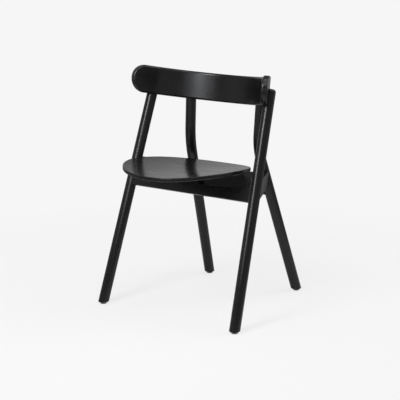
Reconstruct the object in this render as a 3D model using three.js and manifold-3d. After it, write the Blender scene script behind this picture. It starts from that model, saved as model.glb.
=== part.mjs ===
// A wooden chair with round legs, a dished round seat and a bent backrest with round ends.
// Millimetres, +Z up, the front towards -Y, the floor at Z = 0. Left is -X, seen from the front.

import {
  BufferAttribute,
  BufferGeometry,
  Box3,
  ExtrudeGeometry,
  Group,
  LatheGeometry,
  Matrix4,
  Mesh,
  MeshStandardMaterial,
  Path,
  Quaternion,
  Shape,
  Vector2,
  Vector3,
} from 'three';
import { mergeVertices } from 'three/addons/utils/BufferGeometryUtils.js';
import Module from 'manifold-3d';

const wasm = await Module();
wasm.setup();

// Gap between touching pieces, and how far a cutter runs past what it cuts
const clearance = 0.3;
const overrun = 5;

// Seat: a single-curved disc, half a circle in front and half an ellipse behind
const seatThickness = 12;
const seatArris = 3;
const seatRadius = 193;
const seatCentreY = -112.5;
const seatRearReach = 247.5;
const seatBendRadius = 960;
const seatHeight = 461.5;
const seatSlope = 0.065;
const seatSteps = 25;
const seatRearY = seatCentreY + seatRearReach;

// Backrest: a band bent to one radius, tighter at its shoulders, with straight ends
const backHeight = 91;
const backThickness = 20;
const backInnerArris = 7;
const backOuterArris = 2;
const backHalfLength = 338;
const backRadius = 272;
const backArcHalfLength = 203;
const shoulderRadius = 159;
const shoulderLength = 58;
const backAboveSeat = 230.5;
const backBehindSeat = 1;
const backTilt = 8.4;
const backEndRise = 12;
const backSteps = 29;
const backEndSteps = 13;
const backCentreY = seatRearY + backBehindSeat;
const backCentreZ = seatHeight + backAboveSeat;

// Round legs, cut level at the foot and domed at the top
const legDiameter = 34.5;
const footChamfer = 2;
const legTopRounding = 8;
const legFacets = 24;
const legDomeSteps = 3;

// Front legs: the foot's axis from the seat, the top's above the middle of the backrest
const frontFootBesideSeat = 67;
const frontFootForward = 97.5;
const frontTopRise = 27.5;
const frontFootX = seatRadius + frontFootBesideSeat;
const frontFootY = seatCentreY - frontFootForward;
const frontTopZ = backCentreZ + frontTopRise;

// Rear legs: their axis on the floor, at the corner of the bend and at the top
const rearFootX = 180.5;
const rearFootSplay = 181.5;
const rearBendX = 134.5;
const rearBendForward = 27;
const rearBendAboveSeat = 51.5;
const rearTopRise = 23;
const rearBendRadius = 220;
const rearBendSteps = 8;
const rearBendY = seatRearY - rearBendForward;
const rearBendZ = seatHeight + rearBendAboveSeat;
const rearFootY = rearBendY + rearFootSplay;
const rearTopZ = backCentreZ + rearTopRise;

// Where the legs stand along the backrest, how far their axis is behind it, and how deep they are let in
const frontLegFromEnd = 84.4;
const frontLegBehindBack = 1.5;
const frontHousingDepth = 8.5;
const rearLegLength = 134.8;
const rearLegBehindBack = 9.2;
const rearHousingDepth = 1.8;

// Glides nailed under the feet
const glideHeight = 6;
const glideDiameter = 22.5;
const glideFootDiameter = 19.5;
const glideRounding = 1;
const glideRecessDiameter = 9;
const glideRecessDepth = 2;
const nailDiameter = 2.4;
const nailHeadDiameter = 7;
const nailHeadHeight = 1.2;
const nailLength = 22;
const nailTip = 3;
const glideFacets = 20;

// Cover plugs over the screws between backrest and front legs
const plugWidth = 33;
const plugHeight = 28;
const plugDepth = 5;
const plugProud = 0.8;
const plugShift = 9;
const plugSteps = 9;

// Front rail, in the leaning plane of the front legs
const frontRailThickness = 32;
const frontRailDrop = 81.5;
const frontScoopInnerX = 64;
const frontScoopInnerDrop = 51.5;
const frontScoopOuterDrop = 43.5;
const frontScoopCorner = 12;
const frontPadHalfWidth = 27;
const frontBlockBesideSeat = 2;
const frontBlockRise = 10.5;
const frontBlockChamferHeight = 18;
const frontBlockChamferDepth = 12;
const frontBlockRounding = 3;
const frontRailBottom = seatHeight - frontRailDrop;
const frontScoopInnerHeight = seatHeight - frontScoopInnerDrop;
const frontScoopOuterHeight = seatHeight - frontScoopOuterDrop;
const frontBlockInnerX = seatRadius + frontBlockBesideSeat;
const frontBlockTop = seatHeight + frontBlockRise;

// Rear rail, in the leaning plane of the rear legs
const rearRailThickness = 34;
const rearRailDrop = 103.5;
const rearRailTopDrop = 47.5;
const rearPadHalfWidth = 45;
const rearPadFootX = 82;
const rearRailBottom = seatHeight - rearRailDrop;
const rearRailTop = seatHeight - rearRailTopDrop;

// Side rails from front leg to rear leg
const sideRailThickness = 22;
const sideRailDrop = 77.5;
const sideRailTopDrop = 25.5;
const sideRailBottom = seatHeight - sideRailDrop;
const sideRailTop = seatHeight - sideRailTopDrop;

// Arrises of the rails, and how far inside a leg's surface a rail's blank ends
const railArris = 3;
const railEndDepth = 8.5;

// An odd number of steps puts no point of an S-curve where it turns over
const arrisSteps = 2;
const curveSteps = 7;

// Dowels: each joint has one above the rail's bottom and one below its top
const dowelDiameter = 8;
const dowelChamfer = 1;
const dowelIntoLeg = 15;
const dowelIntoRail = 20;
const frontDowelAboveBottom = 17;
const frontDowelBelowTop = 24;
const rearDowelAboveBottom = 13;
const rearDowelBelowTop = 15;
const sideDowelAboveBottom = 27;
const sideDowelBelowTop = 10;
const sideDowelOutward = 4.5;
const backDowelIntoBack = 10;
const backDowelIntoLeg = 13;
const backDowelRises = [-24, 5];
const smallFacets = 10;

// Screws
const seatScrewLength = 42;
const seatScrewIntoSeat = 8;
const backScrewLength = 24;
const screwDiameter = 4.5;
const screwHeadDiameter = 9;
const screwHeadHeight = 3;
const screwTip = 5;
const frontSeatScrewX = 14;
const rearSeatScrewX = 25;
const rearSeatScrewForward = 9;
const backScrewShift = 6;
const backScrewAboveEdge = 9.5;
const backScrewBelowPlugTop = 8;

const xAxis = new Vector3(1, 0, 0);
const yAxis = new Vector3(0, 1, 0);
const zAxis = new Vector3(0, 0, 1);
const halfTurn = Math.PI;
const quarterTurn = Math.PI / 2;
const legRadius = legDiameter / 2;
const sides = [['left', -1], ['right', 1]];
const tiers = ['lower', 'upper'];

// Solids

function toSolid(geometry) {
  const bare = geometry.clone();
  bare.deleteAttribute('normal');
  bare.deleteAttribute('uv');
  const merged = mergeVertices(bare);
  const corners = merged.index.array;
  const triVerts = [];
  for (let i = 0; i < corners.length; i += 3) {
    const [a, b, c] = corners.slice(i, i + 3);
    if (a !== b && b !== c && c !== a) {
      triVerts.push(a, b, c);
    }
  }
  const vertProperties = new Float32Array(merged.attributes.position.array);
  return new wasm.Manifold(new wasm.Mesh({
    numProp: 3,
    vertProperties,
    triVerts: new Uint32Array(triVerts),
  }));
}

function toGeometry(solid) {
  const mesh = solid.getMesh();
  const geometry = new BufferGeometry();
  geometry.setAttribute('position', new BufferAttribute(new Float32Array(mesh.vertProperties), 3));
  geometry.setIndex(new BufferAttribute(new Uint32Array(mesh.triVerts), 1));
  geometry.computeVertexNormals();
  return geometry;
}

function cut(solid, ...cutters) {
  return cutters.reduce((rest, cutter) => rest.subtract(cutter), solid);
}

// Skins a stack of rings with one number of points each; both ends close as a ladder of quads.
function skin(rings) {
  const count = rings[0].length;
  const positions = rings.flat().flatMap((point) => point.toArray());
  const index = [];
  const ladder = (first, step) => {
    for (let i = 0; i + 1 < count / 2; i += 1) {
      const rungs = [i, i + 1, count - 2 - i, count - 1 - i].map((k) => first + k);
      const [a, b, c, d] = step > 0 ? rungs : rungs.reverse();
      index.push(a, b, c, a, c, d);
    }
  };
  for (let ring = 0; ring + 1 < rings.length; ring += 1) {
    for (let i = 0; i < count; i += 1) {
      const a = ring * count + i;
      const b = ring * count + ((i + 1) % count);
      index.push(a, b, b + count, a, b + count, a + count);
    }
  }
  ladder(0, -1);
  ladder((rings.length - 1) * count, 1);
  const geometry = new BufferGeometry();
  geometry.setAttribute('position', new BufferAttribute(new Float32Array(positions), 3));
  geometry.setIndex(index);
  return toSolid(geometry);
}

// Rounded edge profile: inset from the outline and height above the lower face, bottom to top.
function edgeProfile(thickness, lowArris, highArris, steps) {
  const lower = [];
  const upper = [];
  for (let k = 0; k <= steps; k += 1) {
    const turn = quarterTurn * k / steps;
    lower.push([lowArris * (1 - Math.sin(turn)), lowArris * (1 - Math.cos(turn))]);
    upper.push([highArris * (1 - Math.sin(turn)), thickness - highArris * (1 - Math.cos(turn))]);
  }
  return [...lower, ...upper.reverse()];
}

// A plate: an outline with rounded edges, bent by place(u, s, w), where w runs through its thickness.
function plate(outline, low, thickness, [lowArris, highArris], place) {
  const steps = lowArris > 0 ? arrisSteps : 1;
  const rings = edgeProfile(thickness, lowArris, highArris, steps)
    .map(([inset, height]) => outline(inset).map(([u, s]) => place(u, s, low + height)));
  return skin(rings);
}

// A turned piece along a line, from pairs of distance and radius
function turned(origin, direction, profile, facets) {
  const points = profile.map(([distance, radius]) => new Vector2(radius, distance));
  const first = new Vector2(0, profile[0][0]);
  const last = new Vector2(0, profile[profile.length - 1][0]);
  const geometry = new LatheGeometry([first, ...points, last], facets);
  const turn = new Quaternion().setFromUnitVectors(yAxis, direction);
  geometry.applyQuaternion(turn);
  geometry.translate(origin.x, origin.y, origin.z);
  return toSolid(geometry);
}

// Outline points of a piece that is the same on both sides, from its right half, bottom to top
function mirrored(half) {
  const left = half.map((point) => new Vector2(-point.x, point.y)).reverse();
  return [...half, ...left].filter((point, i, all) => point.distanceTo(all.at(i - 1)) > 0);
}

// A board: an outline with rounded arrises, centred on its own middle plane
function board(points, thickness, arris, frame) {
  const geometry = new ExtrudeGeometry(new Shape(points), {
    depth: thickness - 2 * arris,
    bevelEnabled: arris > 0,
    bevelThickness: arris,
    bevelSize: arris,
    bevelOffset: -arris,
    bevelSegments: arrisSteps,
    steps: 1,
  });
  geometry.translate(0, 0, arris - thickness / 2);
  geometry.applyMatrix4(frame);
  return toSolid(geometry);
}

// Seat

function seatPlace(x, y, w) {
  const level = seatHeight - seatSlope * (y - seatCentreY);
  return new Vector3(x, y, level + x * x / (2 * seatBendRadius) + w);
}

// Half circle in front, half ellipse behind, each inset along its own normal
function seatOutline(inset) {
  const front = [];
  const rear = [];
  for (let i = 0; i <= seatSteps; i += 1) {
    const turn = halfTurn * (i + 1 / 2) / (seatSteps + 1);
    const x = -Math.cos(turn);
    const y = Math.sin(turn);
    const slope = new Vector2(x / seatRadius, y / seatRearReach).normalize();
    front.push([x * (seatRadius - inset), seatCentreY - y * (seatRadius - inset)]);
    rear.push([x * seatRadius - slope.x * inset, seatCentreY + y * seatRearReach - slope.y * inset]);
  }
  return [...front, ...rear.reverse()];
}

function seatSolid(grow) {
  return plate(
    (inset) => seatOutline(inset - grow),
    -seatThickness - grow,
    seatThickness + 2 * grow,
    [seatArris, seatArris],
    seatPlace,
  );
}

// Underside of the seat on its middle line
const seatUnderside = (y) => seatPlace(0, y, -seatThickness).z;

// Backrest

const tilt = backTilt * halfTurn / 180;
const bandUp = new Vector3(0, Math.sin(tilt), Math.cos(tilt));
const bandBack = new Vector3(0, Math.cos(tilt), -Math.sin(tilt));

// Middle line of the band at a developed length u: how far across, how far forward, and its turn
function bandLine(u) {
  const length = Math.abs(u);
  const onArc = Math.min(length, backArcHalfLength) / backRadius;
  const onShoulder = Math.min(Math.max(length - backArcHalfLength, 0), shoulderLength) / shoulderRadius;
  const straight = Math.max(length - backArcHalfLength - shoulderLength, 0);
  const turn = onArc + onShoulder;
  const across = backRadius * Math.sin(onArc)
    + shoulderRadius * (Math.sin(turn) - Math.sin(onArc))
    + straight * Math.cos(turn);
  const forward = backRadius * (1 - Math.cos(onArc))
    + shoulderRadius * (Math.cos(onArc) - Math.cos(turn))
    + straight * Math.sin(turn);
  return { across: Math.sign(u) * across, forward, turn: Math.sign(u) * turn };
}

// Direction straight out of the band's back at u
function bandNormal(u) {
  const { turn } = bandLine(u);
  return xAxis.clone().multiplyScalar(Math.sin(turn)).addScaledVector(bandBack, Math.cos(turn));
}

// A point at u along the band, s above its middle and w in front of its middle surface
function bandPlace(u, s, w) {
  const { across, forward } = bandLine(u);
  const rise = backEndRise * (u / backHalfLength) ** 2;
  return new Vector3(across, backCentreY, backCentreZ)
    .addScaledVector(bandBack, -forward)
    .addScaledVector(bandUp, s + rise)
    .addScaledVector(bandNormal(u), -w);
}

// Straight edges and full round ends
function bandOutline(inset) {
  const radius = backHeight / 2 - inset;
  const straight = backHalfLength - backHeight / 2;
  const lower = [];
  for (let i = 0; i < backSteps; i += 1) {
    lower.push([straight * (2 * i / (backSteps - 1) - 1), -radius]);
  }
  const end = [];
  for (let i = 1; i < backEndSteps; i += 1) {
    const turn = halfTurn * (i / backEndSteps - 1 / 2);
    end.push([straight + radius * Math.cos(turn), radius * Math.sin(turn)]);
  }
  const half = (backEndSteps - 1) / 2;
  const startEnd = end.slice(0, half).map(([u, s]) => [-u, s]).reverse();
  const chain = [...startEnd, ...lower, ...end.slice(0, half)];
  return [...chain, ...chain.map(([u, s]) => [u, -s]).reverse()];
}

function bandSolid(grow) {
  return plate(
    (inset) => bandOutline(inset - grow),
    -backThickness / 2 - grow,
    backThickness + 2 * grow,
    [backOuterArris + grow, backInnerArris + grow],
    bandPlace,
  );
}

// Where a leg meets the band: its axis at the band's height, behind the band's back at a developed length
function meeting(side, length, behind, housing) {
  const u = side * length;
  const { across, forward, turn } = bandLine(u);
  const gap = backThickness / 2 + behind;
  const axis = new Vector3(
    across + gap * Math.sin(turn),
    backCentreY + (gap * Math.cos(turn) - forward) / bandBack.y,
    backCentreZ,
  );
  return { axis, u, normal: bandNormal(u), depth: behind + housing };
}

const frontMeeting = (side) => meeting(
  side,
  backHalfLength - frontLegFromEnd,
  frontLegBehindBack,
  frontHousingDepth,
);
const rearMeeting = (side) => meeting(side, rearLegLength, rearLegBehindBack, rearHousingDepth);

// Legs

const mirrorX = (point, side) => new Vector3(point.x * side, point.y, point.z);

// Path of a leg: stations with a centre and a direction. A knee is turned to its own radius.
function legPath(foot, knee, top) {
  const lower = knee.clone().sub(foot).normalize();
  const upper = top.clone().sub(knee).normalize();
  const bend = lower.angleTo(upper);
  const reach = rearBendRadius * Math.tan(bend / 2);
  const start = knee.clone().addScaledVector(lower, -reach);
  const inward = upper.clone().addScaledVector(lower, -upper.dot(lower)).normalize();
  const middle = start.clone().addScaledVector(inward, rearBendRadius);
  const stations = [{ centre: foot, direction: lower }];
  for (let k = 0; k <= rearBendSteps; k += 1) {
    const turn = bend * k / rearBendSteps;
    const centre = middle.clone()
      .addScaledVector(inward, -rearBendRadius * Math.cos(turn))
      .addScaledVector(lower, rearBendRadius * Math.sin(turn));
    const direction = lower.clone().multiplyScalar(Math.cos(turn)).addScaledVector(inward, Math.sin(turn));
    stations.push({ centre, direction });
  }
  stations.push({ centre: top, direction: upper });
  return stations;
}

// Points where the round leg meets a plane through centre with the normal face
function legRing(centre, direction, radius, face) {
  const across = xAxis.clone().addScaledVector(direction, -direction.x).normalize();
  const along = new Vector3().crossVectors(direction, across);
  const ring = [];
  for (let i = 0; i < legFacets; i += 1) {
    const turn = 2 * halfTurn * (i + 1 / 2) / legFacets;
    const point = across.clone().multiplyScalar(radius * Math.cos(turn))
      .addScaledVector(along, radius * Math.sin(turn));
    point.addScaledVector(direction, -point.dot(face) / direction.dot(face));
    ring.push(point.add(centre));
  }
  return ring;
}

function legSolid(stations, grow) {
  const radius = legRadius + grow;
  const { centre: foot, direction: rise } = stations[0];
  const { centre: top, direction: end } = stations[stations.length - 1];
  const footAt = (height) => foot.clone().addScaledVector(rise, height / rise.z);
  const footTop = glideHeight + footChamfer;
  const rings = [
    legRing(footAt(glideHeight), rise, radius - footChamfer, zAxis),
    legRing(footAt(footTop), rise, radius, zAxis),
  ];
  for (const { centre, direction } of stations.slice(1, -1)) {
    rings.push(legRing(centre, direction, radius, direction));
  }
  for (let k = 0; k <= legDomeSteps; k += 1) {
    const turn = quarterTurn * k / legDomeSteps;
    const centre = top.clone().addScaledVector(end, grow + legTopRounding * (Math.sin(turn) - 1));
    rings.push(legRing(centre, end, radius - legTopRounding * (1 - Math.cos(turn)), end));
  }
  return skin(rings);
}

// A leg's last straight length starts at a point, crosses the meeting's axis and ends at a height
function legTop(start, meet, height) {
  const rise = meet.axis.clone().sub(start);
  return start.clone().addScaledVector(rise, (height - start.z) / rise.z);
}

function frontLegStations(side) {
  const foot = new Vector3(side * frontFootX, frontFootY, 0);
  const top = legTop(foot, frontMeeting(side), frontTopZ);
  const direction = top.clone().sub(foot).normalize();
  return [{ centre: foot, direction }, { centre: top, direction }];
}

function rearLegStations(side) {
  const foot = new Vector3(side * rearFootX, rearFootY, 0);
  const knee = new Vector3(side * rearBendX, rearBendY, rearBendZ);
  return legPath(foot, knee, legTop(knee, rearMeeting(side), rearTopZ));
}

// The point of a leg's axis at a height, on the straight length that ends at the given station
function axisAt(station, height) {
  const { centre, direction } = station;
  return centre.clone().addScaledVector(direction, (height - centre.z) / direction.z);
}

// Joints between legs and backrest

// A block that keeps what lies in front of a flat, seen from the leg's axis, or behind it
function flatBlock(meet, direction, gap, front) {
  const up = direction.clone().addScaledVector(meet.normal, -direction.dot(meet.normal)).normalize();
  const across = new Vector3().crossVectors(up, meet.normal);
  const size = backHeight + 2 * overrun;
  const frame = new Matrix4().makeBasis(across, up, meet.normal);
  frame.setPosition(meet.axis);
  const middle = (front ? -size : size) / 2 - meet.depth - gap;
  const outline = [[-size, -size], [size, -size], [size, size], [-size, size]];
  const shift = new Matrix4().makeTranslation(0, 0, middle);
  return board(outline.map(([x, y]) => new Vector2(x, y)), size, 0, frame.multiply(shift));
}

// Cover plug: leg-wide, with a round top, on the inner face just above the lower edge
function plugOutline(meet, grow) {
  const centre = meet.u + Math.sign(meet.u) * plugShift;
  const radius = plugWidth / 2;
  const crown = -backHeight / 2 + plugHeight - radius;
  return (inset) => {
    const reach = radius - inset + grow;
    const low = -backHeight / 2 - overrun;
    const lower = [];
    const upper = [];
    for (let i = 0; i <= plugSteps; i += 1) {
      const turn = halfTurn * i / plugSteps;
      const x = -Math.cos(turn) * reach;
      lower.push([centre + x, low]);
      upper.push([centre + x, crown + Math.sin(turn) * reach]);
    }
    return [...lower, ...upper.reverse()];
  };
}

function plugSolid(meet, grow) {
  const low = backThickness / 2 - plugDepth - grow;
  const high = backThickness / 2 + plugProud + overrun;
  return plate(plugOutline(meet, grow), low, high - low, [0, 0], bandPlace);
}

// Rails

const frontLean = Math.atan2(frontMeeting(1).axis.y - frontFootY, backCentreZ);
const rearLean = Math.atan2(rearBendY - rearFootY, rearBendZ);

// Frame in the leaning plane of a pair of legs: x across, y up the slope, z out of the front
function leaningFrame(lean, footY) {
  const up = new Vector3(0, Math.sin(lean), Math.cos(lean));
  const out = new Vector3().crossVectors(xAxis, up);
  return new Matrix4().makeBasis(xAxis, up, out).setPosition(0, footY, 0);
}

const frontFrame = leaningFrame(frontLean, frontFootY);
const rearFrame = leaningFrame(rearLean, rearFootY);

// Height of the seat's underside where a leaning plane meets it
function padHeight(lean, footY) {
  const slope = Math.tan(lean);
  const atFoot = seatUnderside(footY);
  return atFoot / (1 + seatSlope * slope);
}

const frontPadTop = padHeight(frontLean, frontFootY);
const rearPadTop = padHeight(rearLean, rearFootY);

// Inner end of a rail's blank at a height, just inside the leg's surface
function railEnd(station, height) {
  return Math.abs(axisAt(station, height).x) - legRadius + railEndDepth;
}

function frontRailOutline() {
  const leg = frontLegStations(1)[0];
  const onSlope = (height) => height / Math.cos(frontLean);
  const bottom = onSlope(frontRailBottom);
  const top = onSlope(frontBlockTop);
  const scoopOuter = onSlope(frontScoopOuterHeight);
  const scoopInner = onSlope(frontScoopInnerHeight);
  const padTop = onSlope(frontPadTop) + overrun;
  const half = new Path();
  half.moveTo(0, bottom);
  half.lineTo(railEnd(leg, frontRailBottom), bottom);
  half.lineTo(railEnd(leg, frontBlockTop), top);
  half.lineTo(frontBlockInnerX + frontBlockRounding, top);
  half.lineTo(frontBlockInnerX, top - frontBlockRounding);
  half.lineTo(frontBlockInnerX, scoopOuter + frontScoopCorner);
  half.quadraticCurveTo(
    frontBlockInnerX,
    scoopOuter,
    frontBlockInnerX - frontScoopCorner,
    scoopOuter,
  );
  half.lineTo(frontScoopInnerX, scoopInner);
  half.quadraticCurveTo(frontPadHalfWidth, scoopInner, frontPadHalfWidth, onSlope(frontPadTop));
  half.lineTo(frontPadHalfWidth, padTop);
  half.lineTo(0, padTop);
  return mirrored(half.getPoints(curveSteps));
}

function rearRailOutline() {
  const leg = rearLegStations(1)[0];
  const onSlope = (height) => height / Math.cos(rearLean);
  const bottom = onSlope(rearRailBottom);
  const top = onSlope(rearRailTop);
  const padTop = onSlope(rearPadTop) + overrun;
  const middleX = (rearPadHalfWidth + rearPadFootX) / 2;
  const half = new Path();
  half.moveTo(0, bottom);
  half.lineTo(railEnd(leg, rearRailBottom), bottom);
  half.lineTo(railEnd(leg, rearRailTop), top);
  half.lineTo(rearPadFootX, top);
  half.bezierCurveTo(
    middleX,
    top,
    middleX,
    onSlope(rearPadTop),
    rearPadHalfWidth,
    onSlope(rearPadTop),
  );
  half.lineTo(rearPadHalfWidth, padTop);
  half.lineTo(0, padTop);
  return mirrored(half.getPoints(curveSteps));
}

// The top front edge of the end blocks is cut away to a wide facet
function frontRailChamfer() {
  const face = frontRailThickness / 2;
  const top = frontBlockTop / Math.cos(frontLean);
  const corner = new Shape([
    new Vector2(face + overrun, top - frontBlockChamferHeight * (1 + overrun / frontBlockChamferDepth)),
    new Vector2(face + overrun, top + overrun),
    new Vector2(face - frontBlockChamferDepth * (1 + overrun / frontBlockChamferHeight), top + overrun),
  ]);
  const length = 2 * frontFootX;
  const geometry = new ExtrudeGeometry(corner, { depth: length, bevelEnabled: false });
  geometry.rotateY(-quarterTurn);
  geometry.translate(length / 2, 0, 0);
  geometry.applyMatrix4(frontFrame);
  return toSolid(geometry);
}

const sideRailMiddle = (sideRailBottom + sideRailTop) / 2;

// Frame of a side rail: x from the front leg to the rear leg, y up, z across
function sideRailFrame(side) {
  const front = axisAt(frontLegStations(side)[0], sideRailMiddle);
  const rear = axisAt(rearLegStations(side)[0], sideRailMiddle);
  const along = rear.sub(front).normalize();
  const across = new Vector3().crossVectors(along, zAxis);
  return new Matrix4().makeBasis(along, zAxis, across).setPosition(front.x, front.y, 0);
}

function sideRailSolid(side) {
  const frame = sideRailFrame(side);
  const toLocal = frame.clone().invert();
  const inset = legRadius - railEndDepth;
  const endAt = (stations, height) => axisAt(stations[0], height).applyMatrix4(toLocal).x;
  const front = frontLegStations(side);
  const rear = rearLegStations(side);
  const outline = [
    new Vector2(endAt(front, sideRailBottom) + inset, sideRailBottom),
    new Vector2(endAt(rear, sideRailBottom) - inset, sideRailBottom),
    new Vector2(endAt(rear, sideRailTop) - inset, sideRailTop),
    new Vector2(endAt(front, sideRailTop) + inset, sideRailTop),
  ];
  return board(outline, sideRailThickness, railArris, frame);
}

// Small pieces

// A dowel across a joint: origin on the joint's face, direction into the first piece
function dowel(origin, direction, into, back, grow) {
  const radius = dowelDiameter / 2 + grow;
  const low = -back - grow;
  const high = into + grow;
  return turned(origin, direction, [
    [low, radius - dowelChamfer],
    [low + dowelChamfer, radius],
    [high - dowelChamfer, radius],
    [high, radius - dowelChamfer],
  ], smallFacets);
}

// A countersunk screw: origin in the middle of its head's face, direction towards its tip
function screw(origin, direction, length, grow, bore) {
  const head = screwHeadDiameter / 2 + grow;
  const shank = screwDiameter / 2 + grow;
  return turned(origin, direction, [
    [-bore - grow, head],
    [0, head],
    [screwHeadHeight, shank],
    [length - screwTip, shank],
    [length + grow, grow + shank / 4],
  ], smallFacets);
}

function glide(foot, grow) {
  const top = glideDiameter / 2 + grow;
  const bottom = glideFootDiameter / 2 + grow;
  const recess = glideRecessDiameter / 2;
  const body = turned(foot, zAxis, [
    [0, bottom - glideRounding],
    [glideRounding, bottom],
    [glideHeight - clearance, top],
  ], glideFacets);
  const hollow = turned(foot, zAxis, [
    [-overrun, recess],
    [glideRecessDepth, recess],
  ], glideFacets);
  return cut(body, hollow);
}

function nail(foot, grow) {
  const head = nailHeadDiameter / 2 + grow;
  const shank = nailDiameter / 2 + grow;
  const seat = glideRecessDepth - clearance;
  return turned(foot, zAxis, [
    [seat - nailHeadHeight - grow, head],
    [seat + grow, head],
    [seat + grow, shank],
    [seat + nailLength - nailTip, shank],
    [seat + nailLength + grow, shank / 4],
  ], smallFacets);
}

// Materials

const stainedWood = new MeshStandardMaterial({ color: 0x1d1d1f, roughness: 0.45, metalness: 0 });
const plainWood = new MeshStandardMaterial({ color: 0xc8ab7e, roughness: 0.7, metalness: 0 });
const zincSteel = new MeshStandardMaterial({ color: 0xb4b6b8, roughness: 0.35, metalness: 1 });
const glidePlastic = new MeshStandardMaterial({ color: 0x8f8f8d, roughness: 0.5, metalness: 0 });

// Assembly

const chair = new Group();

function addPiece(name, solid, material) {
  const mesh = new Mesh(toGeometry(solid), material);
  mesh.name = name;
  chair.add(mesh);
}

// Every joint's dowels and screws, each with the solid and the hole it needs
const fixings = [];

function addFixing(name, material, make, ...pieces) {
  fixings.push({ name, material, solid: make(0), hole: make(clearance), pieces });
}

function addRailDowels(rail, leg, station, heights, name, inward, shift) {
  heights.forEach((height, tier) => {
    const axis = axisAt(station, height).add(shift);
    const face = axis.clone().addScaledVector(inward, legRadius);
    const make = (grow) => dowel(face, inward, dowelIntoRail, dowelIntoLeg, grow);
    addFixing(`${name}_${tiers[tier]}`, plainWood, make, rail, leg);
  });
}

for (const [word, side] of sides) {
  const front = frontLegStations(side)[0];
  const rear = rearLegStations(side)[0];
  const inward = new Vector3(-side, 0, 0);
  const along = new Vector3().setFromMatrixColumn(sideRailFrame(side), 0);
  const backwards = along.clone().negate();
  const outward = new Vector3().crossVectors(along, zAxis).multiplyScalar(side * sideDowelOutward);
  const centred = new Vector3();
  const frontLeg = `front_leg_${word}`;
  const rearLeg = `rear_leg_${word}`;
  const rail = `side_rail_${word}`;
  const frontHeights = [frontRailBottom + frontDowelAboveBottom, frontBlockTop - frontDowelBelowTop];
  const rearHeights = [rearRailBottom + rearDowelAboveBottom, rearRailTop - rearDowelBelowTop];
  const sideHeights = [sideRailBottom + sideDowelAboveBottom, sideRailTop - sideDowelBelowTop];
  addRailDowels('front_rail', frontLeg, front, frontHeights, `front_rail_dowel_${word}`, inward, centred);
  addRailDowels('rear_rail', rearLeg, rear, rearHeights, `rear_rail_dowel_${word}`, inward, centred);
  addRailDowels(rail, frontLeg, front, sideHeights, `side_rail_front_dowel_${word}`, along, outward);
  addRailDowels(rail, rearLeg, rear, sideHeights, `side_rail_rear_dowel_${word}`, backwards, outward);
}

// Seat screws run up inside the leaning rails into the seat's underside
function addSeatScrew(name, rail, frame, lean, footY, padTop, x, forward) {
  const up = new Vector3().setFromMatrixColumn(frame, 1);
  const out = new Vector3().setFromMatrixColumn(frame, 2);
  const entry = new Vector3(x, footY + padTop * Math.tan(lean), padTop).addScaledVector(out, forward);
  const head = entry.clone().addScaledVector(up, seatScrewIntoSeat - seatScrewLength);
  const bore = head.z - (lean > 0 ? frontRailBottom : rearRailBottom) + overrun;
  const make = (grow) => screw(head, up, seatScrewLength, grow, grow > 0 ? bore / up.z : 0);
  addFixing(name, zincSteel, make, rail, 'seat_shell');
}

for (const [word, side] of sides) {
  addSeatScrew(`seat_screw_front_${word}`, 'front_rail', frontFrame, frontLean, frontFootY, frontPadTop,
    side * frontSeatScrewX, 0);
  addSeatScrew(`seat_screw_rear_${word}`, 'rear_rail', rearFrame, rearLean, rearFootY, rearPadTop,
    side * rearSeatScrewX, rearSeatScrewForward);
}

// Backrest, let over the planed leg tops
let backrest = bandSolid(0);
const grownBand = bandSolid(clearance);
const proudBand = bandSolid(plugProud);
const grownProudBand = bandSolid(plugProud + clearance);
const legs = {};

for (const [word, side] of sides) {
  const pairs = [
    ['front', frontLegStations(side), frontMeeting(side)],
    ['rear', rearLegStations(side), rearMeeting(side)],
  ];
  for (const [end, stations, meet] of pairs) {
    const leg = `${end}_leg_${word}`;
    const last = stations[stations.length - 1];
    const shoulder = grownBand.intersect(flatBlock(meet, last.direction, 0, true));
    const tenon = legSolid(stations, clearance)
      .intersect(flatBlock(meet, last.direction, clearance, false));
    legs[leg] = {
      solid: legSolid(stations, 0).subtract(shoulder),
      cope: legSolid(stations, clearance),
    };
    backrest = backrest.subtract(tenon);
    if (end === 'front') {
      const pocket = plugSolid(meet, clearance);
      backrest = backrest.subtract(pocket);
      legs[leg].solid = legs[leg].solid.subtract(pocket.intersect(grownProudBand));
      addPiece(`back_plug_${word}`, plugSolid(meet, 0).intersect(proudBand), stainedWood);
      [backScrewAboveEdge, plugHeight - backScrewBelowPlugTop].forEach((height, tier) => {
        const u = meet.u + side * backScrewShift;
        const head = bandPlace(u, height - backHeight / 2, backThickness / 2 - plugDepth - clearance);
        const make = (grow) => screw(head, meet.normal, backScrewLength, grow, grow);
        addFixing(`back_screw_${word}_${tiers[tier]}`, zincSteel, make, 'backrest', leg);
      });
    } else {
      backDowelRises.forEach((height, tier) => {
        const face = axisAt(last, backCentreZ + height).addScaledVector(meet.normal, -meet.depth);
        const make = (grow) => dowel(face, meet.normal, backDowelIntoLeg, backDowelIntoBack, grow);
        addFixing(`back_dowel_${word}_${tiers[tier]}`, plainWood, make, 'backrest', leg);
      });
    }
  }
}

const grownSeat = seatSolid(clearance);
const copes = Object.values(legs).map(({ cope }) => cope);
const frontBlank = (thickness, arris) => board(frontRailOutline(), thickness, arris, frontFrame);
const rearBlank = (thickness, arris) => board(rearRailOutline(), thickness, arris, rearFrame);
const slabs = [
  frontBlank(frontRailThickness + 2 * clearance, 0),
  rearBlank(rearRailThickness + 2 * clearance, 0),
];

const pieces = {
  seat_shell: seatSolid(0),
  backrest,
  front_rail: cut(frontBlank(frontRailThickness, railArris), frontRailChamfer(), grownSeat, ...copes),
  rear_rail: cut(rearBlank(rearRailThickness, railArris), grownSeat, ...copes),
};
for (const [word, side] of sides) {
  pieces[`side_rail_${word}`] = cut(sideRailSolid(side), ...slabs, grownSeat, ...copes);
}
for (const [name, { solid }] of Object.entries(legs)) {
  pieces[name] = solid;
}

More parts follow.
